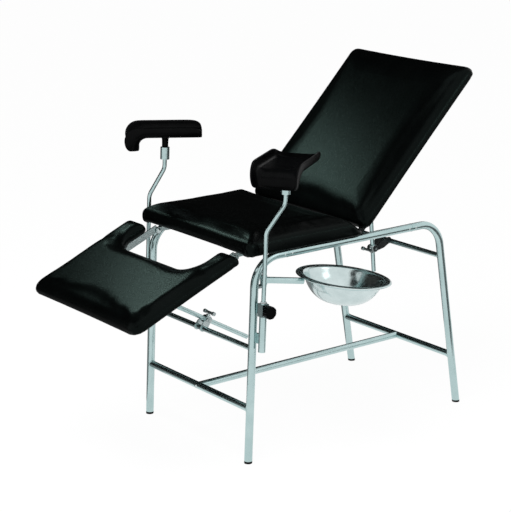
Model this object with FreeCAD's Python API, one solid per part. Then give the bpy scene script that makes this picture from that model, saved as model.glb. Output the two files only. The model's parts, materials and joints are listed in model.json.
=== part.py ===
import FreeCAD, Part
import math
import os
from FreeCAD import Placement, Rotation, Vector

# Examination table with a reclining back, a tilting leg section, knee crutches and a swing-out bowl.
# Millimetres, +X towards the head, +Y to the right of a person lying on it, +Z up, floor at Z = 0.
# X is measured from the front feet while building, and from the middle of the footprint in the files.

# Frame
FRAME_HALF_WIDTH = 300.0
REAR_FOOT_X = 985.0
ORIGIN_X = REAR_FOOT_X / 2
FRONT_LEAN = 0.043
REAR_LEAN = 0.174
RAIL_Z = 716.0
TUBE_RADIUS = 14.0
TUBE_WALL = 1.5
LEG_BEND = 100.0
RAIL_JOINT_FRONT_X = 164.0
RAIL_JOINT_REAR_X = 729.0
SPIGOT_HALF_LENGTH = 30.0
SPIGOT_WALL = 3.0
SPIGOT_FLANGE = 4.0
SPIGOT_FLANGE_RADIUS = 14.6
RIVET_RADIUS = 2.5
RIVET_HEAD_RADIUS = 4.5
RIVET_HEAD_HEIGHT = 1.6
HEAD_SINK = 0.5
FOOT_CAP_HEIGHT = 8.0
FOOT_PLUG_LENGTH = 22.0
LOWER_BAR_Z = 193.0
LOWER_BAR_RADIUS = 12.5
UPPER_BAR_RADIUS = 9.0
UPPER_FRONT_Z = 407.0
UPPER_REAR_Z = 585.0
INSERT_LENGTH = 24.0
BOLT_RADIUS = 4.0
BOLT_HEAD_RADIUS = 8.0
BOLT_HEAD_HEIGHT = 5.0

# Upholstered sections
HALF_WIDTH = 325.0
BOARD_THICKNESS = 12.0
BOARD_INSET = 14.0
DRAW_IN = 3.0
CORNER_SHRINK = 0.4
LEAST_CORNER = 8.0
SEAT_FRONT_X = -13.0
SEAT_REAR_X = 458.0
SEAT_BOTTOM_Z = 735.0
SEAT_CORNER = 20.0
BACK_HINGE = Vector(510.0, 0.0, 724.2)
BACK_ANGLE = 45.3
BACK_UNDERSIDE = 14.0
BACK_START = 8.0
BACK_END = 730.0
BACK_CORNER = 32.0
LEG_HINGE = Vector(1.0, 0.0, 713.0)
LEG_ANGLE = 22.6
LEG_UNDERSIDE = 20.7
LEG_START = 36.0
LEG_END = 493.0
LEG_FRONT_CORNER = 40.0
LEG_ARM_OUTER_CORNER = 16.0
LEG_ARM_INNER_CORNER = 18.0
CUTOUT_HALF_WIDTH = 222.0
CUTOUT_DEPTH = 171.0
CUTOUT_CORNER = 72.0
# Height above the underside and how far the outline is drawn in there
SEAT_LEVELS = [(0, 12), (8, 1.5), (20, 0), (34, 2), (45, 9), (52, 20), (57, 38), (61, 70), (64, 120)]
BACK_LEVELS = [(0, 6), (7, 1.5), (16, 0), (27, 2), (36, 9), (42, 20), (46, 38), (49, 70), (52, 120)]
LEG_LEVELS = [(0, 6), (6, 1.5), (14, 0), (24, 2), (33, 9), (39, 18), (42.5, 28), (44, 36)]

# Hinge hardware
PLATE = 5.0
FLANGE = 4.0
FLANGE_WIDTH = 26.0
BAR_HEIGHT = 25.0
LUG_RADIUS = 12.0
PIN_RADIUS = 5.0
RUNNING_CLEARANCE = 0.05
PIN_HEAD_RADIUS = 9.0
PIN_HEAD_HEIGHT = 5.0
PLATE_GAP = 3.0
PLATE_SHADOW_GAP = 0.4
LEG_BAR_Y = 227.0
BACK_BAR_Y = 270.0
LEG_BAR_END = 430.0
BACK_BAR_END = 640.0
BEARER_WIDTH = 40.0
BEARER_THICKNESS = 6.0
BEARER_HALF_LENGTH = 312.0
BEARER_XS = (190.0, 350.0)
BEARER_SCREW_YS = (-200.0, 0.0, 200.0)
LEG_BRACKET_FLANGE = 28.0
LEG_BRACKET_END = 150.0
LEG_BRACKET_SCREW_XS = (50.0, 128.0)
BACK_BRACKET_FLANGE = 440.0
BACK_BRACKET_END = 370.0
BACK_BRACKET_SCREW_XS = (388.0, 425.0)
BAR_FLANGE_START = 60.0
LEG_SCREW_XS = (90.0, 240.0, 400.0)
BACK_SCREW_XS = (90.0, 340.0, 600.0)
SCREW_RADIUS = 2.5
SCREW_HEAD_RADIUS = 5.5
SCREW_HEAD_HEIGHT = 3.0
SCREW_DEPTH = 10.0

# Struts: the pivot and the clamp stand equally far from the hinge, so the rod turns half as fast
STRUT_RADIUS = 8.0
STRUT_EYE_RADIUS = 12.0
STRUT_EYE_HALF_WIDTH = 9.0
BACK_CLAMP = Vector(818.6, 0.0, 561.4)
BACK_PIVOT_DROP = 43.0
BACK_ROD_LENGTH = 472.0
LEG_CLAMP = Vector(46.0, 0.0, 430.0)
LEG_PIVOT_RISE = 3.0
LEG_ROD_LENGTH = 560.0
COLLAR_RADIUS = 14.0
COLLAR_HALF_LENGTH = 13.0
TRUNNION_RADIUS = 5.0
EAR_INNER_Y = 15.0
EAR_THICKNESS = 4.0
EAR_RADIUS = 11.0
STRUT_BRACKET_HALF = 26.0
STRUT_PIN_HEAD_HEIGHT = 3.5
TRUNNION_HALF_LENGTH = 21.0
COLLAR_BOSS_REACH = 19.0
COLLAR_BOSS_RADIUS = 8.0
BRACKET_FOOT_RADIUS = 13.0
BRACKET_BELLY_HALF = 15.0
BRACKET_BELLY_SHARE = 0.45
BRACKET_TIP_HALF = 8.8
LEVER_START = 9.0
LEVER_REACH = 26.0
LEVER_RADIUS = 4.0
LEVER_HALF_LENGTH = 24.0
LEVER_BAR_RADIUS = 5.0
LEVER_TIP_RADIUS = 7.0
LEVER_TIP_HALF_LENGTH = 5.0

# Leg holders
HOLDER_Y = 342.0
HOLDER_X_AT_FLOOR = 8.0
HOLDER_RADIUS = 7.5
HOLDER_BOTTOM_Z = 455.0
HOLDER_BEND_LOW_Z = 814.0
HOLDER_BEND_HIGH_Z = 902.0
HOLDER_SHIFT_X = 70.0
HOLDER_SHIFT_Y = 8.0
HOLDER_BEND_RADIUS = 40.0
LINER_RADIUS = 9.5
LINER_FLANGE_RADIUS = 11.5
LINER_FLANGE = 3.0
SOCKET_RADIUS = 12.5
SOCKET_BOTTOM_Z = 405.0
SOCKET_TOP_Z = 575.0
SOCKET_FLOOR = 4.0
CLAMP_BLOCK_LOW_Z = 528.0
CLAMP_BLOCK_HEIGHT = 44.0
CLAMP_BLOCK_HALF = 13.5
WEB_HALF = 4.0
WEB_HEIGHT = 34.0
WEB_ZS = (430.0, 533.0)
KNOB_Z = 550.0
KNOB_SCREW_RADIUS = 4.0
KNOB_RADIUS = 22.0
KNOB_THICKNESS = 18.0
KNOB_LOBES = 8
KNOB_LOBE_RADIUS = 5.0
KNOB_LOBE_CENTRE = 25.8
KNOB_HUB_RADIUS = 10.0
KNOB_HUB_LENGTH = 4.0
BOSS_REACH = 21.0
BOSS_RADIUS = 9.0
SLEEVE_RADIUS = 16.5
SLEEVE_LOW_Z = 935.0
SLEEVE_HIGH_Z = 979.0
SLEEVE_SPLIT_Z = 953.0
STEM_SPIGOT_RADIUS = 10.0
STEM_RADIUS = 11.5
CRUTCH_Z = 1023.0
CRUTCH_YAW = 34.0
CRUTCH_THIGH = 132.0
CRUTCH_CALF = 64.0
CRUTCH_BEND = 30.0
CRUTCH_FLOOR_CORNER = 24.0
CRUTCH_WALL = 8.0
CRUTCH_HEIGHT = 40.0
CRUTCH_HALF_WIDTH = 85.0
CRUTCH_TIP_HALF_WIDTH = 70.0
CRUTCH_STEM_SINK = 3.0
# Distance from the thigh end, share of the rim height and share of the width there
CRUTCH_END_SHAPE = [(0, 0.65, 0.82), (4, 0.76, 0.89), (12, 0.88, 0.95), (26, 0.97, 0.99), (46, 1.0, 1.0)]
# Sections round the hook: turn in degrees, drop below the bend, height of the rim
CRUTCH_HOOK_SHAPE = [(20, 0, 44.5), (40, 0, 55.5), (60, 0, 60.0), (75, 0, 57.0), (90, 0, 48.7)]
CRUTCH_HOOK_SHAPE += [(90, 10, 41.8), (90, 19, 31.0)]

# Bowl and its arm
BOWL_PIVOT_X = 66.0
BOWL_ARM_Z = 639.0
BOWL_PIN_RADIUS = 6.0
BOWL_SLEEVE_RADIUS = 12.0
BOWL_SLEEVE_HALF = 15.0
BOWL_LUG_THICKNESS = 8.0
BOWL_LUG_HALF = 10.0
BOWL_ARM_RADIUS = 11.0
BOWL_ARM_LENGTH = 289.0
BOWL_DROOP = 6.8
BOWL_SWING_OUT = 18.0
HOOP_RADIUS = 146.0
HOOP_WIRE_RADIUS = 5.0
HOOP_RISE = 13.0
BOWL_RIM_RADIUS = 161.5
BOWL_LIP_RADIUS = 137.0
BOWL_BASE_RADIUS = 68.0
BOWL_DEPTH = 93.0
BOWL_BELLY_RADIUS = 117.0
BOWL_BELLY_DEPTH = 58.0
BOWL_BELLY_INWARD = 0.8
BOWL_BELLY_UPWARD = 0.6
BOWL_SHEET = 1.5
BOWL_RIM_ROLL = 3.0
BOWL_SEAT_GAP = 0.3

UP = Vector(0, 0, 1)
ACROSS = Vector(0, 1, 0)
ORIGIN = Vector(0, 0, 0)
NODES = {}


def node(name, *solids):
    """Keeps one or more separate solids under a node's name."""
    NODES[name] = solids[0] if len(solids) == 1 else Part.makeCompound(list(solids))


def mirrored(shape):
    """The same shape on the other side of the table."""
    return shape.mirror(ORIGIN, ACROSS)


def both(name, left):
    """A left node and its mirror image on the right."""
    node(name + "_left", left)
    node(name + "_right", mirrored(left))


def between(radius, start, end):
    """A round bar from one point to another."""
    return Part.makeCylinder(radius, (end - start).Length, start, end - start)


def drum(radius, middle, half_length):
    """A round bar across the table, centred on a point."""
    return between(radius, middle - ACROSS * half_length, middle + ACROSS * half_length)


def box(x_low, x_high, y_low, y_high, z_low, z_high):
    """A block from its limits."""
    size = (x_high - x_low, y_high - y_low, z_high - z_low)
    return Part.makeBox(*size, Vector(x_low, y_low, z_low))


def placed(shape, placement):
    """A shape moved by a placement."""
    moved = shape.copy()
    moved.Placement = placement.multiply(moved.Placement)
    return moved


def bent_path(points, bend):
    """Straight runs through the points, joined by tangent arcs."""
    edges = []
    start = points[0]
    for before, corner, after in zip(points, points[1:], points[2:]):
        back = (before - corner).normalize()
        ahead = (after - corner).normalize()
        half_turn = (math.pi - back.getAngle(ahead)) / 2
        inward = (back + ahead).normalize()
        enter = corner + back * bend * math.tan(half_turn)
        leave = corner + ahead * bend * math.tan(half_turn)
        middle = corner + inward * (bend / math.cos(half_turn) - bend)
        edges.append(Part.LineSegment(start, enter).toShape())
        edges.append(Part.Arc(enter, middle, leave).toShape())
        start = leave
    edges.append(Part.LineSegment(start, points[-1]).toShape())
    return Part.Wire(edges)


def bent_bar(points, bend, radius):
    """A round bar swept along a bent path."""
    path = bent_path(points, bend)
    ring = Part.Wire(Part.makeCircle(radius, points[0], points[1] - points[0]))
    return path.makePipeShell([ring], True, False)


def plate(outline, y_low, y_high):
    """A flat plate across the table from an outline of (x, z) points."""
    corners = [Vector(x, y_low, z) for x, z in outline]
    face = Part.Face(Part.makePolygon(corners + corners[:1]))
    return face.extrude(ACROSS * (y_high - y_low))


def front_leg_point(z, y=0.0):
    """A point on the front leg's axis."""
    return Vector(FRONT_LEAN * z, y, z)


def rear_leg_point(z, y=0.0):
    """A point on the rear leg's axis."""
    return Vector(REAR_FOOT_X - REAR_LEAN * z, y, z)


def domed_head(radius, height, base, axis):
    """A low domed fastener head on a flat base."""
    ball = (radius * radius + height * height) / (2 * height)
    half_way = math.asin(radius / ball) / 2
    rim = Vector(radius, 0, 0)
    shoulder = Vector(ball * math.sin(half_way), 0, height - ball * (1 - math.cos(half_way)))
    crown = Vector(0, 0, height)
    edges = [Part.LineSegment(ORIGIN, rim).toShape()]
    edges.append(Part.Arc(rim, shoulder, crown).toShape())
    edges.append(Part.LineSegment(crown, ORIGIN).toShape())
    dome = Part.Face(Part.Wire(edges)).revolve(ORIGIN, UP, 360)
    return placed(dome, Placement(base, Rotation(UP, axis)))


def frame_tubes():
    """Bent legs, side rails, and the riveted spigots that join them."""
    inner = TUBE_RADIUS - TUBE_WALL
    y = -FRAME_HALF_WIDTH
    rail_front = Vector(RAIL_JOINT_FRONT_X, y, RAIL_Z)
    rail_rear = Vector(RAIL_JOINT_REAR_X, y, RAIL_Z)
    step = Vector(SPIGOT_FLANGE / 2, 0, 0)
    runs = {
        "front_leg": ([front_leg_point(0, y), front_leg_point(RAIL_Z, y), rail_front - step], LEG_BEND),
        "rear_leg": ([rear_leg_point(0, y), rear_leg_point(RAIL_Z, y), rail_rear + step], LEG_BEND),
        "side_rail": ([rail_front + step, rail_rear - step], 0),
    }
    outers = {}
    inners = {}
    for name, (points, bend) in runs.items():
        outers[name] = bent_bar(points, bend, TUBE_RADIUS)
        inners[name] = bent_bar(points, bend, inner)
    below_caps = box(-REAR_FOOT_X, REAR_FOOT_X * 2, y * 2, 0, -RAIL_Z, FOOT_CAP_HEIGHT)
    below_floor = box(-REAR_FOOT_X, REAR_FOOT_X * 2, y * 2, 0, -RAIL_Z, 0)

    spigots = []
    rivets = []
    for joint in (rail_front, rail_rear):
        reach = Vector(SPIGOT_HALF_LENGTH, 0, 0)
        spigot = between(inner, joint - reach, joint + reach)
        spigot = spigot.fuse(between(SPIGOT_FLANGE_RADIUS, joint - step, joint + step))
        spigot = spigot.cut(between(inner - SPIGOT_WALL, joint - reach, joint + reach))
        for side in (-1, 1):
            place = joint + Vector(side * SPIGOT_HALF_LENGTH / 2, 0, 0)
            foot = place - ACROSS * (inner - SPIGOT_WALL)
            base = place - ACROSS * (TUBE_RADIUS - HEAD_SINK)
            shank = between(RIVET_RADIUS, foot, base)
            head = domed_head(RIVET_HEAD_RADIUS, RIVET_HEAD_HEIGHT, base, -ACROSS)
            rivets.append(shank.fuse(head))
        spigots.append(spigot)
    all_rivets = Part.makeCompound(rivets)
    caps = []
    for name in ("front_leg", "rear_leg"):
        tube = outers[name].cut(inners[name]).cut(below_caps).cut(all_rivets)
        both(name, tube)
        foot = front_leg_point if name == "front_leg" else rear_leg_point
        start = foot(-FOOT_PLUG_LENGTH, y)
        collar = between(TUBE_RADIUS, start, foot(FOOT_CAP_HEIGHT * 2, y)).common(below_caps)
        plug = between(inner, start, foot(FOOT_CAP_HEIGHT + FOOT_PLUG_LENGTH, y))
        caps.append(collar.fuse(plug).cut(below_floor))
    both("side_rail", outers["side_rail"].cut(inners["side_rail"]).cut(all_rivets))
    spigots = [spigot.cut(all_rivets) for spigot in spigots]
    node("rail_joints", *spigots, *[mirrored(spigot) for spigot in spigots])
    node("rail_rivets", *rivets, *[mirrored(rivet) for rivet in rivets])
    node("foot_caps", *caps, *[mirrored(cap) for cap in caps])
    side = [outers[name] for name in outers]
    return side + [mirrored(shape) for shape in side]


def crossbars(side_tubes):
    """Welded crossbars and the bolted centre stretcher."""
    spots = {
        "lower_front_crossbar": (front_leg_point(LOWER_BAR_Z), LOWER_BAR_RADIUS),
        "lower_rear_crossbar": (rear_leg_point(LOWER_BAR_Z), LOWER_BAR_RADIUS),
        "upper_front_crossbar": (front_leg_point(UPPER_FRONT_Z), UPPER_BAR_RADIUS),
        "upper_rear_crossbar": (rear_leg_point(UPPER_REAR_Z), UPPER_BAR_RADIUS),
    }
    front = spots["lower_front_crossbar"][0]
    rear = spots["lower_rear_crossbar"][0]
    bars = {}
    for name, (middle, radius) in spots.items():
        bar = drum(radius, middle, FRAME_HALF_WIDTH)
        for tube in side_tubes:
            bar = bar.cut(tube)
        bars[name] = bar
    inner = LOWER_BAR_RADIUS - TUBE_WALL
    stretcher = between(LOWER_BAR_RADIUS, front, rear).cut(between(inner, front, rear))
    bolts = []
    inserts = []
    for middle, way in ((front, Vector(1, 0, 0)), (rear, Vector(-1, 0, 0))):
        face = middle - way * (LOWER_BAR_RADIUS - HEAD_SINK * 2)
        inside = middle + way * LOWER_BAR_RADIUS
        bolt = between(BOLT_RADIUS, face, inside + way * INSERT_LENGTH)
        bolts.append(bolt.fuse(domed_head(BOLT_HEAD_RADIUS, BOLT_HEAD_HEIGHT, face, -way)))
        inserts.append(between(inner, middle, inside + way * INSERT_LENGTH))
    for name in ("lower_front_crossbar", "lower_rear_crossbar"):
        stretcher = stretcher.cut(bars[name])
        inserts = [insert.cut(bars[name]) for insert in inserts]
    for bolt in bolts:
        inserts = [insert.cut(bolt) for insert in inserts]
    for name, bar in bars.items():
        for bolt in bolts:
            bar = bar.cut(bolt)
        node(name, bar)
    node("centre_stretcher", stretcher)
    node("stretcher_bolts", *bolts)
    node("stretcher_inserts", *inserts)
    return bars


def drawn_side(start, end, pull):
    """A side that is drawn in a little between two corners."""
    middle = (start + end) * 0.5 + pull
    return Part.Arc(start, middle, end).toShape()


def corner_arc(start, corner, end):
    """A quarter-round corner between two sides."""
    round_middle = corner + (start + end - corner * 2) * (1 - math.sqrt(0.5))
    return Part.Arc(start, round_middle, end).toShape()


def closed_outline(corners, pulls):
    """A wire of sides and round corners from (corner point, radius) pairs."""
    count = len(corners)
    enters = []
    leaves = []
    for index, (corner, radius) in enumerate(corners):
        before = corners[index - 1][0]
        after = corners[(index + 1) % count][0]
        enters.append(corner + (before - corner).normalize() * radius)
        leaves.append(corner + (after - corner).normalize() * radius)
    edges = []
    for index, (corner, radius) in enumerate(corners):
        edges.append(corner_arc(enters[index], corner, leaves[index]))
        following = (index + 1) % count
        pull = pulls[index]
        if pull.Length > 0:
            edges.append(drawn_side(leaves[index], enters[following], pull))
        else:
            edges.append(Part.LineSegment(leaves[index], enters[following]).toShape())
    return Part.Wire(edges)


def panel_outline(x_low, x_high, radius, inset, z):
    """The outline of a plain upholstered panel at one level."""
    low = x_low + inset
    high = x_high - inset
    half = HALF_WIDTH - inset
    round_radius = max(radius - inset * CORNER_SHRINK, LEAST_CORNER)
    corners = [
        (Vector(low, -half, z), round_radius),
        (Vector(high, -half, z), round_radius),
        (Vector(high, half, z), round_radius),
        (Vector(low, half, z), round_radius),
    ]
    lengthwise = Vector(DRAW_IN, 0, 0)
    pulls = [ACROSS * DRAW_IN, lengthwise * -1, ACROSS * -DRAW_IN, lengthwise]
    return closed_outline(corners, pulls)


def leg_outline(inset, z):
    """The outline of the leg section at one level, with its cut-out towards the seat."""
    start = -(LEG_START + inset)
    end = -(LEG_END - inset)
    depth = -(CUTOUT_DEPTH + inset)
    half = HALF_WIDTH - inset
    gap = CUTOUT_HALF_WIDTH + inset
    front = max(LEG_FRONT_CORNER - inset * CORNER_SHRINK, LEAST_CORNER)
    outer = max(LEG_ARM_OUTER_CORNER - inset * CORNER_SHRINK, LEAST_CORNER)
    inner = max(LEG_ARM_INNER_CORNER - inset * CORNER_SHRINK, LEAST_CORNER)
    corners = [
        (Vector(end, -half, z), front),
        (Vector(start, -half, z), outer),
        (Vector(start, -gap, z), inner),
        (Vector(depth, -gap, z), CUTOUT_CORNER + inset),
        (Vector(depth, gap, z), CUTOUT_CORNER + inset),
        (Vector(start, gap, z), inner),
        (Vector(start, half, z), outer),
        (Vector(end, half, z), front),
    ]
    straight = [ORIGIN] * 5
    pulls = [ACROSS * DRAW_IN] + straight + [ACROSS * -DRAW_IN, Vector(DRAW_IN, 0, 0)]
    return closed_outline(corners, pulls)


def padded_panel(outline, levels, base):
    """A crowned cushion lofted through its levels, and the board let into its underside."""
    wires = [outline(inset, base + height) for height, inset in levels]
    cushion = Part.makeLoft(wires, True, False)
    board = Part.Face(outline(BOARD_INSET, base)).extrude(UP * BOARD_THICKNESS)
    return cushion.cut(board), board


def seat_outline(inset, z):
    """The seat's outline at one level."""
    return panel_outline(SEAT_FRONT_X, SEAT_REAR_X, SEAT_CORNER, inset, z)


def back_outline(inset, z):
    """The backrest's outline at one level."""
    return panel_outline(BACK_START, BACK_END, BACK_CORNER, inset, z)


def screws_up(spots, head_z, board_z):
    """Wood screws driven upwards, their heads at head_z and their points in a board at board_z."""
    made = []
    for x, y in spots:
        base = Vector(x, y, head_z)
        head = domed_head(SCREW_HEAD_RADIUS, SCREW_HEAD_HEIGHT, base, -UP)
        shank = between(SCREW_RADIUS, base, Vector(x, y, board_z + SCREW_DEPTH))
        made.append(head.fuse(shank))
    return made


def cut_all(shape, tools):
    """A shape with several others taken out of it."""
    for tool in tools:
        shape = shape.cut(tool)
    return shape


def angle_bar(lug, far_x, flange_x, y_low, top, flange_way):
    """A bar on edge from a round hinge lug to far_x, with a screw flange along its top from flange_x on."""
    bar = box(min(lug.x, far_x), max(lug.x, far_x), y_low, y_low + PLATE, top - BAR_HEIGHT, top)
    bar = bar.fuse(drum(LUG_RADIUS, Vector(lug.x, y_low + PLATE / 2, lug.z), PLATE / 2))
    y_far = y_low + flange_way * FLANGE_WIDTH
    flange_low = min(flange_x, far_x)
    flange_high = max(flange_x, far_x)
    flange = box(flange_low, flange_high, min(y_low, y_far), max(y_low, y_far) + PLATE, top - FLANGE, top)
    return bar.fuse(flange).removeSplitter()


def hinge_pin(hinge, fixed_low, moving_high):
    """A headed hinge pin with a spacing collar between the two plates and a nut outside."""
    head_side = hinge + ACROSS * fixed_low
    collar_low = head_side + ACROSS * PLATE
    collar_high = collar_low + ACROSS * (PLATE_GAP - PLATE_SHADOW_GAP)
    nut_low = hinge + ACROSS * (moving_high + PLATE_SHADOW_GAP)
    nut_high = nut_low + ACROSS * PIN_HEAD_HEIGHT
    pin = between(PIN_RADIUS, head_side, nut_high)
    pin = pin.fuse(between(PIN_HEAD_RADIUS, collar_low, collar_high))
    pin = pin.fuse(between(PIN_HEAD_RADIUS, nut_low, nut_high))
    pin = pin.fuse(domed_head(PIN_HEAD_RADIUS, PIN_HEAD_HEIGHT, head_side, -ACROSS))
    return pin.removeSplitter()


def running_hole(radius, middle):
    """A long round cutter across the table for a turning pin."""
    return drum(radius + RUNNING_CLEARANCE, middle, HALF_WIDTH)


def seat(side_tubes):
    """Seat cushion and board on two bearers, with the brackets that carry both hinges."""
    cushion, board = padded_panel(seat_outline, SEAT_LEVELS, SEAT_BOTTOM_Z)
    bearers = []
    spots = []
    bearer_low = SEAT_BOTTOM_Z - BEARER_THICKNESS
    for x in BEARER_XS:
        half = BEARER_WIDTH / 2
        bearer = box(x - half, x + half, -BEARER_HALF_LENGTH, BEARER_HALF_LENGTH, bearer_low, SEAT_BOTTOM_Z)
        bearers.append(cut_all(bearer, side_tubes))
        spots += [(x, y) for y in BEARER_SCREW_YS]
    screws = screws_up(spots, bearer_low, SEAT_BOTTOM_Z)

    leg_y = LEG_BAR_Y - PLATE_GAP - PLATE
    leg_bracket = angle_bar(LEG_HINGE, LEG_BRACKET_END, LEG_BRACKET_FLANGE, leg_y, SEAT_BOTTOM_Z, -1)
    nose_top = LEG_HINGE.z + LUG_RADIUS
    nose_end = LEG_HINGE.x + LUG_RADIUS
    nose = box(LEG_HINGE.x - LUG_RADIUS, nose_end, leg_y, leg_y + PLATE, nose_top, SEAT_BOTTOM_Z)
    back_y = BACK_BAR_Y - PLATE_GAP - PLATE
    back_bracket = angle_bar(BACK_HINGE, BACK_BRACKET_END, BACK_BRACKET_FLANGE, back_y, SEAT_BOTTOM_Z, -1)
    leg_pin = hinge_pin(LEG_HINGE, leg_y, LEG_BAR_Y + PLATE)
    back_pin = hinge_pin(BACK_HINGE, back_y, BACK_BAR_Y + PLATE)
    leg_bracket = leg_bracket.cut(nose).cut(leg_pin)
    back_bracket = back_bracket.cut(back_pin)
    flange_spots = [(x, leg_y - FLANGE_WIDTH / 2) for x in LEG_BRACKET_SCREW_XS]
    flange_spots += [(x, back_y - FLANGE_WIDTH / 2) for x in BACK_BRACKET_SCREW_XS]
    right_screws = screws_up(flange_spots, SEAT_BOTTOM_Z - FLANGE, SEAT_BOTTOM_Z)
    screws += right_screws + [mirrored(screw) for screw in right_screws]

    node("seat_cushion", cushion)
    node("seat_board", cut_all(board, screws))
    node("seat_bearers", *[cut_all(bearer, screws) for bearer in bearers])
    node("seat_screws", *screws)
    leg_bracket = cut_all(leg_bracket, right_screws)
    back_bracket = cut_all(back_bracket, right_screws)
    node("leg_hinge_brackets", leg_bracket, mirrored(leg_bracket))
    node("back_hinge_brackets", back_bracket, mirrored(back_bracket))
    node("leg_hinge_pins", leg_pin, mirrored(leg_pin))
    node("back_hinge_pins", back_pin, mirrored(back_pin))


def strut_bracket(pivot, top):
    """A channel under a board whose two ears hold a strut's pin."""
    reach = EAR_INNER_Y + EAR_THICKNESS
    wide = STRUT_BRACKET_HALF
    bracket = box(pivot.x - wide, pivot.x + wide, -reach, reach, top - FLANGE, top)
    outline = [(pivot.x - wide, top), (pivot.x + wide, top)]
    outline += [(pivot.x + EAR_RADIUS, pivot.z), (pivot.x - EAR_RADIUS, pivot.z)]
    for y_low in (-reach, EAR_INNER_Y):
        bracket = bracket.fuse(plate(outline, y_low, y_low + EAR_THICKNESS))
        middle = pivot + ACROSS * (y_low + EAR_THICKNESS / 2)
        bracket = bracket.fuse(drum(EAR_RADIUS, middle, EAR_THICKNESS / 2))
    pin = drum(PIN_RADIUS, pivot, reach)
    for way in (ACROSS, -ACROSS):
        pin = pin.fuse(domed_head(PIN_HEAD_RADIUS, STRUT_PIN_HEAD_HEIGHT, pivot + way * reach, way))
    return bracket.removeSplitter().cut(pin), pin


def strut_rod(pivot, clamp, length):
    """A strut rod with an eye at its pivot, pointing through its clamp."""
    way = (clamp - pivot).normalize()
    rod = between(STRUT_RADIUS, pivot + way * PIN_RADIUS, pivot + way * length)
    rod = rod.fuse(drum(STRUT_EYE_RADIUS, pivot, STRUT_EYE_HALF_WIDTH))
    return rod.cut(running_hole(PIN_RADIUS, pivot))


def clamp_collar(pivot, clamp, lever_side):
    """A collar round the strut rod with two trunnions, and its locking lever."""
    way = (clamp - pivot).normalize()
    reach = way * COLLAR_HALF_LENGTH
    outward = way.cross(ACROSS).normalize() * lever_side
    collar = between(COLLAR_RADIUS, clamp - reach, clamp + reach)
    collar = collar.fuse(drum(TRUNNION_RADIUS, clamp, TRUNNION_HALF_LENGTH))
    boss_end = clamp + outward * COLLAR_BOSS_REACH
    collar = collar.fuse(between(COLLAR_BOSS_RADIUS, clamp, boss_end))
    collar = collar.cut(between(STRUT_RADIUS + RUNNING_CLEARANCE, clamp - reach * 2, clamp + reach * 2))
    collar = collar.cut(between(LEVER_RADIUS + RUNNING_CLEARANCE, clamp, boss_end + outward))
    lever_end = clamp + outward * LEVER_REACH
    lever = between(LEVER_RADIUS, clamp + outward * LEVER_START, lever_end)
    lever = lever.fuse(drum(LEVER_BAR_RADIUS, lever_end, LEVER_HALF_LENGTH))
    for side in (ACROSS, -ACROSS):
        tip = lever_end + side * LEVER_HALF_LENGTH
        lever = lever.fuse(drum(LEVER_TIP_RADIUS, tip, LEVER_TIP_HALF_LENGTH))
    return collar.removeSplitter(), lever


def clamp_bracket(clamp, bar_middle, bar):
    """Two leaf-shaped plates from a crossbar to a clamp's trunnions."""
    way = clamp - bar_middle
    side = way.cross(ACROSS).normalize()
    stops = [(bar_middle, EAR_RADIUS), (bar_middle + way * BRACKET_BELLY_SHARE, BRACKET_BELLY_HALF)]
    stops.append((clamp, BRACKET_TIP_HALF))
    edge = [point + side * half for point, half in stops]
    edge += [point - side * half for point, half in reversed(stops)]
    outline = [(point.x, point.z) for point in edge]
    leaves = []
    for y_low in (-EAR_INNER_Y - EAR_THICKNESS, EAR_INNER_Y):
        middle = ACROSS * (y_low + EAR_THICKNESS / 2)
        leaf = plate(outline, y_low, y_low + EAR_THICKNESS)
        leaf = leaf.fuse(drum(EAR_RADIUS, clamp + middle, EAR_THICKNESS / 2))
        leaf = leaf.fuse(drum(BRACKET_FOOT_RADIUS, bar_middle + middle, EAR_THICKNESS / 2))
        leaf = leaf.cut(running_hole(TRUNNION_RADIUS, clamp))
        leaves.append(leaf.removeSplitter().cut(bar))
    return leaves


def posed(hinge, angle):
    """The placement of a hinged section that is built flat with its hinge at the origin."""
    return Placement(hinge, Rotation(ACROSS, -angle))


def hinged_section(prefix, panel, bars, bracket, pin, screws, placement):
    """Writes one hinged section's nodes at its rest angle."""
    cushion, board = panel
    node(prefix + "_cushion", placed(cushion, placement))
    node(prefix + "_board", placed(cut_all(board, screws), placement))
    node(prefix + "_bars", *[placed(cut_all(bar, screws), placement) for bar in bars])
    node(prefix + "_strut_bracket", placed(bracket, placement))
    node(prefix + "_strut_pin", placed(pin, placement))
    node(prefix + "_screws", *[placed(screw, placement) for screw in screws])


def backrest(bars):
    """The backrest, its strut and the clamp on the upper rear crossbar."""
    placement = posed(BACK_HINGE, BACK_ANGLE)
    panel = padded_panel(back_outline, BACK_LEVELS, BACK_UNDERSIDE)
    bar = angle_bar(ORIGIN, BACK_BAR_END, BAR_FLANGE_START, BACK_BAR_Y, BACK_UNDERSIDE, -1)
    bar = bar.cut(running_hole(PIN_RADIUS, ORIGIN))
    pivot_x = math.sqrt((BACK_CLAMP - BACK_HINGE).Length ** 2 - BACK_PIVOT_DROP ** 2)
    flat_pivot = Vector(pivot_x, 0, -BACK_PIVOT_DROP)
    bracket, pin = strut_bracket(flat_pivot, BACK_UNDERSIDE)
    spots = [(x, BACK_BAR_Y - FLANGE_WIDTH / 2) for x in BACK_SCREW_XS]
    right = screws_up(spots, BACK_UNDERSIDE - FLANGE, BACK_UNDERSIDE)
    screws = right + [mirrored(screw) for screw in right]
    hinged_section("back", panel, [bar, mirrored(bar)], bracket, pin, screws, placement)
    pivot = placement.multVec(flat_pivot)
    node("back_strut_rod", strut_rod(pivot, BACK_CLAMP, BACK_ROD_LENGTH))
    collar, lever = clamp_collar(pivot, BACK_CLAMP, -1)
    node("back_clamp_collar", collar)
    node("back_clamp_lever", lever)
    leaves = clamp_bracket(BACK_CLAMP, rear_leg_point(UPPER_REAR_Z), bars["upper_rear_crossbar"])
    node("back_clamp_bracket", *leaves)


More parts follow.
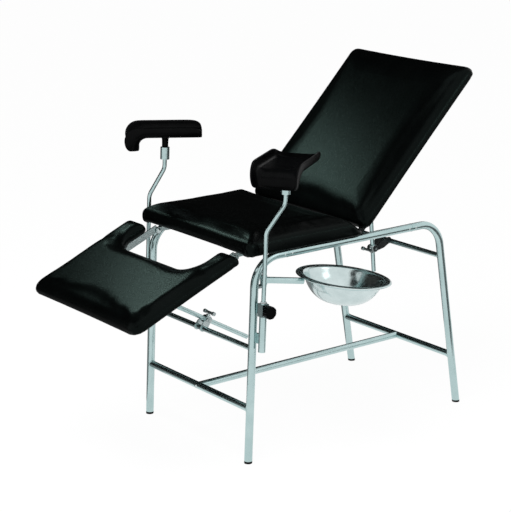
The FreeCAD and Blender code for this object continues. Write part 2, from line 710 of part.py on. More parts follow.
def leg_section(bars):
    """The leg section, its strut and the clamp on the upper front crossbar."""
    placement = posed(LEG_HINGE, LEG_ANGLE)
    panel = padded_panel(leg_outline, LEG_LEVELS, LEG_UNDERSIDE)
    bar = angle_bar(ORIGIN, -LEG_BAR_END, -BAR_FLANGE_START, LEG_BAR_Y, LEG_UNDERSIDE, 1)
    bar = bar.cut(running_hole(PIN_RADIUS, ORIGIN))
    pivot_x = -math.sqrt((LEG_CLAMP - LEG_HINGE).Length ** 2 - LEG_PIVOT_RISE ** 2)
    flat_pivot = Vector(pivot_x, 0, LEG_PIVOT_RISE)
    bracket, pin = strut_bracket(flat_pivot, LEG_UNDERSIDE)
    spots = [(-x, LEG_BAR_Y + PLATE + FLANGE_WIDTH / 2) for x in LEG_SCREW_XS]
    right = screws_up(spots, LEG_UNDERSIDE - FLANGE, LEG_UNDERSIDE)
    screws = right + [mirrored(screw) for screw in right]
    hinged_section("leg", panel, [bar, mirrored(bar)], bracket, pin, screws, placement)
    pivot = placement.multVec(flat_pivot)
    node("leg_strut_rod", strut_rod(pivot, LEG_CLAMP, LEG_ROD_LENGTH))
    collar, lever = clamp_collar(pivot, LEG_CLAMP, 1)
    node("leg_clamp_collar", collar)
    node("leg_clamp_lever", lever)
    leaves = clamp_bracket(LEG_CLAMP, front_leg_point(UPPER_FRONT_Z), bars["upper_front_crossbar"])
    node("leg_clamp_bracket", *leaves)


def holder_point(z):
    """A point on the left holder's lower axis, parallel to the front leg."""
    return Vector(HOLDER_X_AT_FLOOR + FRONT_LEAN * z, -HOLDER_Y, z)


def holder_socket(axis, side_tubes):
    """The socket on the front leg: a tube closed below, a clamp block, a screw boss and two webs."""
    bottom = holder_point(SOCKET_BOTTOM_Z)
    top = holder_point(SOCKET_TOP_Z)
    turn = Rotation(UP, axis)
    half = CLAMP_BLOCK_HALF
    block = box(-half, half, -half, half, 0, CLAMP_BLOCK_HEIGHT)
    socket = between(SOCKET_RADIUS, bottom, top)
    socket = socket.fuse(placed(block, Placement(holder_point(CLAMP_BLOCK_LOW_Z), turn)))
    web = box(-WEB_HALF, WEB_HALF, 0, HOLDER_Y - FRAME_HALF_WIDTH, 0, WEB_HEIGHT)
    for z in WEB_ZS:
        socket = socket.fuse(placed(web, Placement(holder_point(z), turn)))
    screw_base = holder_point(KNOB_Z)
    boss_end = screw_base - ACROSS * BOSS_REACH
    socket = socket.fuse(between(BOSS_RADIUS, screw_base, boss_end))
    floor = holder_point(SOCKET_BOTTOM_Z + SOCKET_FLOOR)
    socket = socket.cut(between(LINER_RADIUS + RUNNING_CLEARANCE, floor, top + axis))
    socket = socket.cut(between(KNOB_SCREW_RADIUS + RUNNING_CLEARANCE, screw_base, boss_end - ACROSS))
    return cut_all(socket, side_tubes).removeSplitter()


def socket_liner(axis):
    """The nylon liner that turns in the socket while the rod slides in it."""
    foot = holder_point(SOCKET_BOTTOM_Z + SOCKET_FLOOR + PLATE_SHADOW_GAP)
    flange_low = holder_point(SOCKET_TOP_Z) + axis * PLATE_SHADOW_GAP
    flange_high = flange_low + axis * LINER_FLANGE
    liner = between(LINER_RADIUS, foot, flange_high)
    liner = liner.fuse(between(LINER_FLANGE_RADIUS, flange_low, flange_high))
    liner = liner.cut(between(HOLDER_RADIUS + RUNNING_CLEARANCE, foot - axis, flange_high + axis))
    return liner.removeSplitter()


def clamp_knob():
    """A lobed knob with its clamping screw, facing outwards."""
    out = -ACROSS
    screw_base = holder_point(KNOB_Z)
    hub = screw_base + out * (BOSS_REACH + PLATE_SHADOW_GAP)
    knob_low = hub + out * KNOB_HUB_LENGTH
    knob_high = knob_low + out * KNOB_THICKNESS
    grip = between(KNOB_RADIUS, knob_low, knob_high)
    for lobe in range(KNOB_LOBES):
        angle = 2 * math.pi * lobe / KNOB_LOBES
        offset = Vector(math.cos(angle), 0, math.sin(angle)) * KNOB_LOBE_CENTRE
        grip = grip.cut(between(KNOB_LOBE_RADIUS, knob_low + offset, knob_high + offset))
    grip = grip.fuse(between(KNOB_HUB_RADIUS, hub, knob_low))
    tip = screw_base + out * (LINER_RADIUS + PLATE_SHADOW_GAP)
    return grip.fuse(between(KNOB_SCREW_RADIUS, tip, knob_low)).removeSplitter()


def leg_holders(side_tubes):
    """Socket, liner, knob, S-bent rod and knee crutch on the left, mirrored to the right."""
    axis = (holder_point(1.0) - holder_point(0.0)).normalize()
    both("holder_socket", holder_socket(axis, side_tubes))
    both("socket_liner", socket_liner(axis))
    both("clamp_knob", clamp_knob())

    shift = Vector(HOLDER_SHIFT_X, -HOLDER_SHIFT_Y, 0)
    bend_high = holder_point(HOLDER_BEND_HIGH_Z) + shift
    rod_top = holder_point(SLEEVE_SPLIT_Z) + shift
    sleeve_top = holder_point(SLEEVE_HIGH_Z) + shift
    floor_point = holder_point(CRUTCH_Z) + shift
    points = [holder_point(HOLDER_BOTTOM_Z), holder_point(HOLDER_BEND_LOW_Z), bend_high, rod_top]
    rod = bent_bar(points, HOLDER_BEND_RADIUS, HOLDER_RADIUS)
    sleeve = between(SLEEVE_RADIUS, holder_point(SLEEVE_LOW_Z) + shift, sleeve_top)
    sleeve = sleeve.cut(between(STEM_SPIGOT_RADIUS + RUNNING_CLEARANCE, rod_top, sleeve_top + axis))
    both("holder_rod", rod.fuse(sleeve).removeSplitter())
    stem_top = floor_point + axis * CRUTCH_STEM_SINK
    stem = between(STEM_SPIGOT_RADIUS, rod_top + axis * PLATE_SHADOW_GAP, stem_top)
    stem = stem.fuse(between(STEM_RADIUS, sleeve_top + axis * PLATE_SHADOW_GAP, stem_top))
    both("knee_crutch", knee_trough(floor_point).fuse(stem).removeSplitter())


def trough_side(half, corner, low, rim):
    """The points of one open U of the trough's section, from rim to rim."""
    flat = half - corner
    slant = corner * math.sqrt(0.5)
    knee = low + corner
    right = [(half, rim), (half, knee), (flat + slant, knee - slant), (flat, low)]
    left = [(-across, up) for across, up in right]
    return [Vector(0, across, up) for across, up in left + right[::-1]]


def trough_section(half, rim):
    """One closed section of the knee trough: rounded floor and two walls of even thickness."""
    outer = trough_side(half, CRUTCH_FLOOR_CORNER, 0.0, rim)
    inner = trough_side(half - CRUTCH_WALL, CRUTCH_FLOOR_CORNER - CRUTCH_WALL, CRUTCH_WALL, rim)[::-1]
    edges = []
    for points in (outer, inner):
        wall_top, wall_foot, turn, floor_start, floor_end, far_turn, far_foot, far_top = points
        edges.append(Part.LineSegment(wall_top, wall_foot).toShape())
        edges.append(Part.Arc(wall_foot, turn, floor_start).toShape())
        edges.append(Part.LineSegment(floor_start, floor_end).toShape())
        edges.append(Part.Arc(floor_end, far_turn, far_foot).toShape())
        edges.append(Part.LineSegment(far_foot, far_top).toShape())
        following = inner[0] if points is outer else outer[0]
        edges.append(Part.LineSegment(far_top, following).toShape())
    return Part.Wire(edges)


def knee_trough(floor_point):
    """The moulded trough: straight under the thigh, bending down under the calf."""
    stations = []
    for back, rim, half in CRUTCH_END_SHAPE:
        place = Vector(CRUTCH_THIGH - back, 0, 0)
        stations.append((place, 0.0, CRUTCH_HEIGHT * rim, CRUTCH_HALF_WIDTH * half))
    stations.append((Vector(-CRUTCH_CALF, 0, 0), 0.0, CRUTCH_HEIGHT, CRUTCH_HALF_WIDTH))
    for step, (turn, drop, rim) in enumerate(CRUTCH_HOOK_SHAPE, start=1):
        bent = math.radians(turn)
        along = CRUTCH_CALF + CRUTCH_BEND * math.sin(bent)
        height = CRUTCH_BEND * (math.cos(bent) - 1) - drop
        share = step / len(CRUTCH_HOOK_SHAPE)
        half = CRUTCH_HALF_WIDTH + (CRUTCH_TIP_HALF_WIDTH - CRUTCH_HALF_WIDTH) * share * share
        stations.append((Vector(-along, 0, height), turn, rim, half))
    wires = []
    for place, turn, rim, half in stations:
        wires.append(placed(trough_section(half, rim), Placement(place, Rotation(ACROSS, -turn))))
    shell = Part.makeLoft(wires, True, True)
    return placed(shell, Placement(floor_point, Rotation(UP, CRUTCH_YAW)))


def bowl_and_arm(side_tubes):
    """Swing arm on a pin beside the left front leg, its hoop, and the bowl that rests in the hoop."""
    y = -FRAME_HALF_WIDTH
    pivot = Vector(BOWL_PIVOT_X, y, BOWL_ARM_Z)
    sleeve_low = pivot - UP * BOWL_SLEEVE_HALF
    sleeve_high = pivot + UP * BOWL_SLEEVE_HALF
    lug_top = sleeve_low - UP * BOWL_SEAT_GAP
    lug_low = lug_top - UP * BOWL_LUG_THICKNESS
    half = BOWL_LUG_HALF
    lug = box(FRONT_LEAN * lug_low.z, pivot.x, y - half, y + half, lug_low.z, lug_top.z)
    lug = lug.fuse(between(half, lug_low, lug_top))
    lug = cut_all(lug, side_tubes)
    cap_base = sleeve_high + UP * BOWL_SEAT_GAP
    cap = domed_head(PIN_HEAD_RADIUS, PIN_HEAD_HEIGHT, cap_base, UP)
    pin = between(BOWL_PIN_RADIUS, lug_low, cap_base).fuse(cap)
    node("bowl_pivot_lug", lug.removeSplitter().cut(pin))
    node("bowl_pivot_pin", pin)

    tilt = Placement(pivot, Rotation(UP, -BOWL_SWING_OUT).multiply(Rotation(ACROSS, BOWL_DROOP)))
    sleeve = between(BOWL_SLEEVE_RADIUS, sleeve_low, sleeve_high)
    bore = between(BOWL_PIN_RADIUS + RUNNING_CLEARANCE, lug_top, cap_base)
    centre = Vector(BOWL_ARM_LENGTH, 0, HOOP_RISE)
    hoop = Part.makeTorus(HOOP_RADIUS, HOOP_WIRE_RADIUS, centre, UP)
    arm_flat = between(BOWL_ARM_RADIUS, ORIGIN, Vector(BOWL_ARM_LENGTH - HOOP_RADIUS, 0, 0))
    arm = placed(arm_flat.cut(hoop), tilt).fuse(sleeve).cut(bore)
    node("bowl_arm", arm.removeSplitter())
    node("bowl_hoop", placed(hoop, tilt))

    rim_under = HOOP_WIRE_RADIUS + BOWL_SEAT_GAP
    bowl = placed(bowl_shell().translated(Vector(0, 0, rim_under)), Placement(centre, Rotation()))
    node("bowl", placed(bowl, tilt))


def bowl_shell():
    """A spun bowl with a flat rim, its rim's underside at zero height."""
    sheet = BOWL_SHEET

    def profile(offset):
        lip = Vector(BOWL_LIP_RADIUS - offset, 0, sheet if offset else 0)
        mid_radius = BOWL_BELLY_RADIUS - offset * BOWL_BELLY_INWARD
        wall_mid = Vector(mid_radius, 0, offset * BOWL_BELLY_UPWARD - BOWL_BELLY_DEPTH)
        foot = Vector(BOWL_BASE_RADIUS, 0, -BOWL_DEPTH + offset)
        return lip, wall_mid, foot

    out_lip, out_mid, out_foot = profile(0.0)
    in_lip, in_mid, in_foot = profile(sheet)
    rim = Vector(BOWL_RIM_RADIUS, 0, 0)
    rim_low = Vector(BOWL_RIM_RADIUS, 0, -BOWL_RIM_ROLL)
    rim_out = Vector(BOWL_RIM_RADIUS + sheet, 0, -BOWL_RIM_ROLL)
    rim_top = Vector(BOWL_RIM_RADIUS + sheet, 0, sheet)
    base_out = Vector(0, 0, -BOWL_DEPTH)
    base_in = Vector(0, 0, -BOWL_DEPTH + sheet)
    edges = [
        Part.LineSegment(base_out, out_foot).toShape(),
        Part.Arc(out_foot, out_mid, out_lip).toShape(),
        Part.LineSegment(out_lip, rim).toShape(),
        Part.LineSegment(rim, rim_low).toShape(),
        Part.LineSegment(rim_low, rim_out).toShape(),
        Part.LineSegment(rim_out, rim_top).toShape(),
        Part.LineSegment(rim_top, in_lip).toShape(),
        Part.Arc(in_lip, in_mid, in_foot).toShape(),
        Part.LineSegment(in_foot, base_in).toShape(),
        Part.LineSegment(base_in, base_out).toShape(),
    ]
    return Part.Face(Part.Wire(edges)).revolve(ORIGIN, UP, 360)


def build():
    """Makes every node and writes it to its own file."""
    side_tubes = frame_tubes()
    bars = crossbars(side_tubes)
    seat(side_tubes)
    backrest(bars)
    leg_section(bars)
    leg_holders(side_tubes)
    bowl_and_arm(side_tubes)
    os.makedirs("parts", exist_ok=True)
    for name, shape in NODES.items():
        shape.translated(Vector(-ORIGIN_X, 0, 0)).exportStep(f"parts/{name}.step")


build()
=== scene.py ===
import bmesh
import bpy
import json
import math
from mathutils import Matrix, Vector, noise

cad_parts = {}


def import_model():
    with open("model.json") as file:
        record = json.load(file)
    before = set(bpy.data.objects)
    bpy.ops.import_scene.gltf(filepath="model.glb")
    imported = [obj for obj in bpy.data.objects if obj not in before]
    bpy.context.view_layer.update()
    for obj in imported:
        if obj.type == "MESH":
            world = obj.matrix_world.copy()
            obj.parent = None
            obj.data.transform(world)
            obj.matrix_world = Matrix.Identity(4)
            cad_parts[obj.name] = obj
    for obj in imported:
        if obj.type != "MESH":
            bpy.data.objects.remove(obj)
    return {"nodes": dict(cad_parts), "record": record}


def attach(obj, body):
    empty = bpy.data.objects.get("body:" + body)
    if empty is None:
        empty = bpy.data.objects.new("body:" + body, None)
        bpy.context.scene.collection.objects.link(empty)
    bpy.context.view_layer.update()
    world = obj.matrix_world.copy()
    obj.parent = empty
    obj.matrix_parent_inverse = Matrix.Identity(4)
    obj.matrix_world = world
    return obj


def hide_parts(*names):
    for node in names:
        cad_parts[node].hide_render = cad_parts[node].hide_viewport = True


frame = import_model()
for spare in ("Cube", "Light", "Camera"):
    if spare in bpy.data.objects:
        bpy.data.objects.remove(bpy.data.objects[spare])
NODES = frame["nodes"]
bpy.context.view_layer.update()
SCENE = bpy.context.scene

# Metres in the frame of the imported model; X positions are counted from the front feet and moved by ORIGIN_X
ORIGIN_X = 0.4925
FRONT_LEAN = 0.043
REAR_FOOT_X = 0.985
REAR_LEAN = 0.174
TUBE_RADIUS = 0.014
FRAME_HALF = 0.300

# Camera: place, turn and downward tilt in degrees, lens and sensor width in millimetres
EYE = (-3.1146 - ORIGIN_X, -4.3895, 2.1471)
CAMERA_TURN = -37.573
CAMERA_DOWN = 15.383
LENS = 113.7
SENSOR = 36.0

# Panels: hinge in X and Z, angle at rest, ends along the panel, underside and top over the hinge, body
PANELS = {
    "seat": {
        "hinge": (0.0, 0.735), "angle": 0.0, "low": -0.013, "high": 0.458,
        "base": 0.0, "top": 0.064, "body": "frame",
    },
    "back": {
        "hinge": (0.510, 0.7242), "angle": 45.3, "low": 0.008, "high": 0.730,
        "base": 0.014, "top": 0.066, "body": "backrest",
    },
    "leg": {
        "hinge": (0.001, 0.713), "angle": 22.6, "low": -0.493, "high": -0.036,
        "base": 0.0207, "top": 0.0647, "body": "leg_section",
    },
}
HALF_WIDTH = 0.325

# Pieces that take the light of the two lamps mirrored in the covers
SHEEN = bpy.data.collections.new("sheen")

# Bowl: the arm's pivot, swing and droop, its length and the rim's height over it
BOWL_PIVOT = (0.066, -0.300, 0.639)
BOWL_SWING = math.radians(-18.0)
BOWL_DROOP = math.radians(6.8)
BOWL_ARM = 0.289
BOWL_RISE = 0.0183

# The part of a noise texture's range that most of its values lie in
NOISE_LOW = 0.3
NOISE_HIGH = 0.7


class Shader:
    """A material with a Principled shader and short calls for its texture nodes."""

    def __init__(self, name):
        self.material = bpy.data.materials.new(name)
        self.material.use_nodes = True
        self.tree = self.material.node_tree
        self.surface = self.tree.nodes["Principled BSDF"]
        self.place = self.add("ShaderNodeTexCoord").outputs["Object"]

    def add(self, kind, values=None, **settings):
        """A new node with its settings and the values of its sockets."""
        made = self.tree.nodes.new(kind)
        for name, value in settings.items():
            setattr(made, name, value)
        for socket, value in (values or {}).items():
            made.inputs[socket].default_value = value
        return made

    def link(self, start, end):
        """Links two sockets."""
        self.tree.links.new(start, end)

    def into(self, value, socket):
        """Links a value into the Principled shader."""
        self.link(value, self.surface.inputs[socket])

    def set(self, **values):
        """Sets sockets of the Principled shader, with underscores for the spaces in their names."""
        for name, value in values.items():
            self.surface.inputs[name.replace("_", " ")].default_value = value

    def stretched(self, scale, turn=(0, 0, 0), shift=(0, 0, 0)):
        """Stretched, turned and shifted coordinates."""
        mapping = self.add("ShaderNodeMapping", {"Scale": scale, "Rotation": turn, "Location": shift})
        self.link(self.place, mapping.inputs["Vector"])
        return mapping.outputs["Vector"]

    def noise(self, scale, detail, rough=0.5, place=None):
        """A noise texture."""
        made = self.add("ShaderNodeTexNoise", {"Scale": scale, "Detail": detail, "Roughness": rough})
        self.link(place or self.place, made.inputs["Vector"])
        return made.outputs["Fac"]

    def cells(self, scale):
        """A texture of rounded cells."""
        made = self.add("ShaderNodeTexVoronoi", {"Scale": scale}, feature="SMOOTH_F1")
        self.link(self.place, made.inputs["Vector"])
        return made.outputs["Distance"]

    def colour(self, value, dark, light, start=NOISE_LOW, end=NOISE_HIGH):
        """Lets the base colour run from dark to light as a value rises."""
        made = self.add("ShaderNodeValToRGB")
        for element, at, tone in zip(made.color_ramp.elements, (start, end), (dark, light)):
            element.position = at
            element.color = (*tone, 1.0)
        self.link(value, made.inputs["Fac"])
        self.into(made.outputs["Color"], "Base Color")

    def roughness(self, value, low, high):
        """Lets the roughness run from low to high as a value rises."""
        span = {"From Min": NOISE_LOW, "From Max": NOISE_HIGH, "To Min": low, "To Max": high}
        made = self.add("ShaderNodeMapRange", span)
        self.link(value, made.inputs["Value"])
        self.into(made.outputs["Result"], "Roughness")

    def bump(self, height, distance, strength, under=None):
        """Bumps on the surface, over the bumps under them if any are given."""
        made = self.add("ShaderNodeBump", {"Distance": distance, "Strength": strength})
        self.link(height, made.inputs["Height"])
        if under is not None:
            self.link(under, made.inputs["Normal"])
        self.into(made.outputs["Normal"], "Normal")
        return made.outputs["Normal"]


def leatherette():
    """Black artificial leather: fine pebble grain, soft creases and an uneven satin sheen."""
    shader = Shader("upholstery")
    tone = shader.noise(scale=9.0, detail=4.0)
    shader.colour(tone, dark=(0.0003, 0.0004, 0.0004), light=(0.0007, 0.0009, 0.0009))
    shader.roughness(shader.noise(scale=210.0, detail=2.0), low=0.27, high=0.31)
    shader.set(Specular_IOR_Level=0.07, Specular_Tint=(0.72, 1.0, 0.93, 1.0))
    pebble = shader.cells(scale=720.0)
    crease = shader.noise(scale=55.0, detail=5.0, rough=0.6)
    creased = shader.bump(crease, distance=0.0006, strength=0.3)
    shader.bump(pebble, distance=0.00022, strength=0.65, under=creased)
    return shader.material


def bright_chrome():
    """Chromed tube: faint cool tint and slightly uneven polish."""
    shader = Shader("bright_tube")
    tone = shader.noise(scale=14.0, detail=3.0)
    shader.colour(tone, dark=(0.42, 0.56, 0.56), light=(0.49, 0.63, 0.63))
    shader.roughness(shader.noise(scale=120.0, detail=5.0), low=0.17, high=0.26)
    shader.set(Metallic=1.0)
    shader.bump(shader.noise(scale=420.0, detail=4.0), distance=0.0002, strength=0.12)
    return shader.material


def hardware_steel():
    """Zinc-plated brackets and fasteners, brushed along the table."""
    shader = Shader("hardware_steel")
    brushed = shader.stretched((60.0, 900.0, 900.0))
    streaks = shader.noise(scale=1.0, detail=5.0, rough=0.6, place=brushed)
    shader.colour(streaks, dark=(0.46, 0.54, 0.54), light=(0.60, 0.68, 0.68), start=0.25, end=0.75)
    shader.roughness(streaks, low=0.20, high=0.34)
    shader.set(Metallic=1.0)
    shader.bump(streaks, distance=0.0003, strength=0.2)
    return shader.material


def bowl_frame():
    """From the bowl's own frame, with the middle of its rim at the origin, to its place at rest."""
    pivot = Matrix.Translation((BOWL_PIVOT[0] - ORIGIN_X, BOWL_PIVOT[1], BOWL_PIVOT[2]))
    swing = Matrix.Rotation(BOWL_SWING, 4, "Z")
    droop = Matrix.Rotation(BOWL_DROOP, 4, "Y")
    return pivot @ swing @ droop @ Matrix.Translation((BOWL_ARM, 0, BOWL_RISE))


def spun_steel():
    """Polished bowl steel with fine rings left by spinning, round the bowl's own axis."""
    shader = Shader("bowl_steel")
    back = bowl_frame().inverted()
    local = shader.stretched((1, 1, 1), back.to_euler(), back.to_translation())
    spinning = {"Scale": 160.0, "Distortion": 1.5, "Detail": 3.0}
    rings = shader.add("ShaderNodeTexWave", spinning, wave_type="RINGS", rings_direction="Z")
    shader.link(local, rings.inputs["Vector"])
    tone = shader.noise(scale=24.0, detail=4.0)
    shader.colour(tone, dark=(0.54, 0.64, 0.64), light=(0.64, 0.74, 0.74))
    shader.roughness(shader.noise(scale=90.0, detail=4.0), low=0.13, high=0.22)
    shader.set(Metallic=1.0)
    shader.bump(rings.outputs["Fac"], distance=0.0001, strength=0.25)
    return shader.material


def moulded_plastic(name, dark, light, rough_low, rough_high):
    """Moulded plastic with a fine spark texture and faint handling marks."""
    shader = Shader(name)
    shader.colour(shader.noise(scale=30.0, detail=4.0), dark, light)
    shader.roughness(shader.noise(scale=70.0, detail=5.0), rough_low, rough_high)
    shader.set(Specular_IOR_Level=0.05)
    shader.bump(shader.noise(scale=900.0, detail=2.0), distance=0.0002, strength=0.25)
    return shader.material


def black_plastic():
    """Black plastic of the crutches, knobs and foot caps."""
    dark = (0.0006, 0.0007, 0.0008)
    light = (0.0013, 0.0014, 0.0015)
    return moulded_plastic("black_plastic", dark, light, rough_low=0.26, rough_high=0.36)


def liner_plastic():
    """Grey plastic of the liners in the holder sockets."""
    dark = (0.30, 0.32, 0.32)
    light = (0.38, 0.40, 0.40)
    return moulded_plastic("liner_plastic", dark, light, rough_low=0.4, rough_high=0.55)


def stained_board():
    """Dark stained plywood with its grain along the table."""
    shader = Shader("board")
    grain = shader.noise(scale=1.0, detail=6.0, rough=0.65, place=shader.stretched((12.0, 240.0, 240.0)))
    shader.colour(grain, dark=(0.016, 0.014, 0.012), light=(0.040, 0.034, 0.028))
    shader.roughness(grain, low=0.5, high=0.7)
    shader.bump(grain, distance=0.0006, strength=0.4)
    return shader.material


def stove_enamel():
    """Black baked paint on steel with a faint orange peel."""
    shader = Shader("black_paint")
    tone = shader.noise(scale=22.0, detail=4.0)
    shader.colour(tone, dark=(0.006, 0.008, 0.008), light=(0.012, 0.015, 0.015))
    shader.roughness(shader.noise(scale=60.0, detail=4.0), low=0.28, high=0.42)
    shader.set(Specular_IOR_Level=0.3)
    shader.bump(shader.noise(scale=260.0, detail=2.0), distance=0.0003, strength=0.2)
    return shader.material


MATERIALS = {
    "upholstery": leatherette(),
    "bright_tube": bright_chrome(),
    "hardware_steel": hardware_steel(),
    "bowl_steel": spun_steel(),
    "black_plastic": black_plastic(),
    "liner_plastic": liner_plastic(),
    "board": stained_board(),
    "black_paint": stove_enamel(),
}


def new_object(name, mesh, body, slot):
    """Links a mesh as a piece that rides on a body and takes its finish from a material slot."""
    piece = bpy.data.objects.new(name, mesh)
    SCENE.collection.objects.link(piece)
    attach(piece, body)
    mesh.materials.clear()
    mesh.materials.append(MATERIALS[slot])
    return piece


def subdivide(piece, levels):
    """Rounds a piece by subdividing its mesh."""
    finer = piece.modifiers.new("finer", "SUBSURF")
    finer.levels = levels
    finer.render_levels = levels


def mesh_from(bm, name):
    """A smooth-shaded mesh from a bmesh, which is freed."""
    bmesh.ops.recalc_face_normals(bm, faces=bm.faces)
    mesh = bpy.data.meshes.new(name)
    bm.to_mesh(mesh)
    bm.free()
    mesh.shade_smooth()
    return mesh


# Edges of the carried-over solids
WELD_GAP = 0.00002
EDGE_WIDTH = 0.0006
EDGE_SEGMENTS = 2
EDGE_ANGLE = math.radians(40)
SPLIT_ANGLE = math.radians(32)


def dress_nodes():
    """Gives every carried-over node its material, smooth shading and softened edges."""
    slots = {part["node"]: part["material_slot"] for part in frame["record"]["subparts"]}
    for name, node in NODES.items():
        node.data.materials.clear()
        node.data.materials.append(MATERIALS[slots[name]])
        node.data.shade_smooth()
        weld = node.modifiers.new("weld", "WELD")
        weld.merge_threshold = WELD_GAP
        bevel = node.modifiers.new("soft_edges", "BEVEL")
        bevel.width = EDGE_WIDTH
        bevel.segments = EDGE_SEGMENTS
        bevel.limit_method = "ANGLE"
        bevel.angle_limit = EDGE_ANGLE
        split = node.modifiers.new("edges", "EDGE_SPLIT")
        split.split_angle = SPLIT_ANGLE
        even = node.modifiers.new("even_shading", "WEIGHTED_NORMAL")
        even.keep_sharp = True


# Cushions: mesh size, cloth run, where the cover is held to the board and how far it may swell
VOXEL = 0.006
CLOTH_FRAMES = 20
CLOTH_QUALITY = 4
CLOTH_PRESSURE = 4.0
CLOTH_STIFFNESS = 4.0
START_SHRINK = 0.003
SWELL_CAP = 0.005
SPARE_COVER = -0.006
SMOOTHING_ROUNDS = 4
HELD_UNDERSIDE = 0.016
HELD_EDGE = 0.004
UNDERSIDE_NORMAL = -0.3


def panel_matrix(panel):
    """From a panel's flat frame, hinge at the origin, to its place at rest."""
    x, z = panel["hinge"]
    return Matrix.Translation((x - ORIGIN_X, 0, z)) @ Matrix.Rotation(-math.radians(panel["angle"]), 4, "Y")


def remeshed(source, name, flat):
    """A copy of a node's mesh, laid flat, as an even voxel mesh."""
    probe = bpy.data.objects.new(name + "_probe", source.data.copy())
    probe.data.transform(flat)
    SCENE.collection.objects.link(probe)
    remesh = probe.modifiers.new("voxels", "REMESH")
    remesh.mode = "VOXEL"
    remesh.voxel_size = VOXEL
    bpy.context.view_layer.update()
    evaluated = probe.evaluated_get(bpy.context.evaluated_depsgraph_get())
    mesh = bpy.data.meshes.new_from_object(evaluated)
    bpy.data.objects.remove(probe)
    return mesh


def inflated(mesh, pinned, name):
    """Blows a closed mesh up a little as cloth and returns its new points."""
    puppet = bpy.data.objects.new(name + "_cloth", mesh.copy())
    SCENE.collection.objects.link(puppet)
    group = puppet.vertex_groups.new(name="held")
    group.add(pinned, 1.0, "REPLACE")
    cloth = puppet.modifiers.new("cloth", "CLOTH")
    cloth.settings.quality = CLOTH_QUALITY
    cloth.settings.use_pressure = True
    cloth.settings.uniform_pressure_force = CLOTH_PRESSURE
    cloth.settings.shrink_min = SPARE_COVER
    cloth.settings.bending_stiffness = CLOTH_STIFFNESS
    cloth.settings.vertex_group_mass = "held"
    cloth.settings.effector_weights.gravity = 0.0
    cloth.point_cache.frame_start = 1
    cloth.point_cache.frame_end = CLOTH_FRAMES
    for step in range(1, CLOTH_FRAMES + 1):
        SCENE.frame_set(step)
    evaluated = puppet.evaluated_get(bpy.context.evaluated_depsgraph_get())
    points = [vertex.co.copy() for vertex in evaluated.data.vertices]
    SCENE.frame_set(1)
    bpy.data.objects.remove(puppet)
    return points


def evened(mesh, moves):
    """Evens out moves between neighbouring points of a mesh."""
    for _ in range(SMOOTHING_ROUNDS):
        totals = [move.copy() for move in moves]
        counts = [1] * len(moves)
        for edge in mesh.edges:
            first, second = edge.vertices
            totals[first] += moves[second]
            totals[second] += moves[first]
            counts[first] += 1
            counts[second] += 1
        moves = [total / count for total, count in zip(totals, counts)]
    return moves


def held_points(mesh, base):
    """The points of a cushion's cover that are tacked to its board."""
    held = []
    for vertex in mesh.vertices:
        level = vertex.co.z - base
        underside = level < HELD_UNDERSIDE and vertex.normal.z < UNDERSIDE_NORMAL
        if underside or level < HELD_EDGE:
            held.append(vertex.index)
    return held


def swell(mesh, held, name):
    """Swells a cushion's cover as cloth that starts a little too small."""
    start = [vertex.co.copy() for vertex in mesh.vertices]
    normals = [vertex.normal.copy() for vertex in mesh.vertices]
    fixed = set(held)
    for vertex in mesh.vertices:
        if vertex.index not in fixed:
            vertex.co -= normals[vertex.index] * START_SHRINK
    moves = []
    for point, begin in zip(inflated(mesh, held, name), start):
        move = point - begin
        if move.length > SWELL_CAP:
            move *= SWELL_CAP / move.length
        moves.append(move)
    for vertex, begin, move in zip(mesh.vertices, start, evened(mesh, moves)):
        vertex.co = begin + move


# Folds at a cushion's corners: their directions and width in degrees, depth, reach, and how they fade upwards
PLEAT_TURNS = (-24.0, 2.0, 27.0)
PLEAT_WIDTH = 7.0
PLEAT_DEPTH = 0.0030
PLEAT_REACH = 0.075
PLEAT_CENTRE = 0.004
PLEAT_FADE = 1.2
PLEAT_SET_IN = 0.045


def pleat(point, corner, outward, height):
    """How far a point near a cushion's corner is drawn in by the folds of the cover."""
    offset = Vector((point.x - corner[0], point.y - corner[1]))
    if offset.length > PLEAT_REACH or offset.length < PLEAT_CENTRE:
        return 0.0
    turn = math.degrees(offset.angle_signed(Vector(outward)))
    folds = sum(math.exp(-((turn - at) / PLEAT_WIDTH) ** 2) for at in PLEAT_TURNS)
    near = 1.0 - (offset.length / PLEAT_REACH) ** 2
    return PLEAT_DEPTH * folds * near * max(0.0, 1.0 - height * PLEAT_FADE)


def pleat_corners(mesh, panel):
    """Gathers the cover into folds at a cushion's four corners."""
    middle = (panel["low"] + panel["high"]) / 2
    thick = panel["top"] - panel["base"]
    corners = []
    for x in (panel["low"], panel["high"]):
        for y in (-HALF_WIDTH, HALF_WIDTH):
            corner = (x + math.copysign(PLEAT_SET_IN, middle - x), y - math.copysign(PLEAT_SET_IN, y))
            corners.append((corner, (math.copysign(1, x - middle), math.copysign(1, y))))
    for vertex in mesh.vertices:
        height = (vertex.co.z - panel["base"]) / thick
        for corner, outward in corners:
            depth = pleat(vertex.co, corner, outward, height)
            if depth > 0.0:
                inward = Vector((corner[0] - vertex.co.x, corner[1] - vertex.co.y, 0)).normalized()
                vertex.co += inward * depth


# Seat cover: its sag beside the rails and on them, its rounded nose in front and its heel under the backrest
SKIRT_HEIGHT = 0.020
SKIRT_DROP = 0.009
RAIL_TOUCH = 0.005
RAIL_OUTSIDE = 0.316
RAIL_INSIDE = 0.284
NOSE_BULGE = 0.005
NOSE_REACH = 0.030
NOSE_ROUNDNESS = 0.8
HEEL_HEIGHT = 0.038
HEEL_LENGTH = 0.050
HEEL_REACH = 0.070


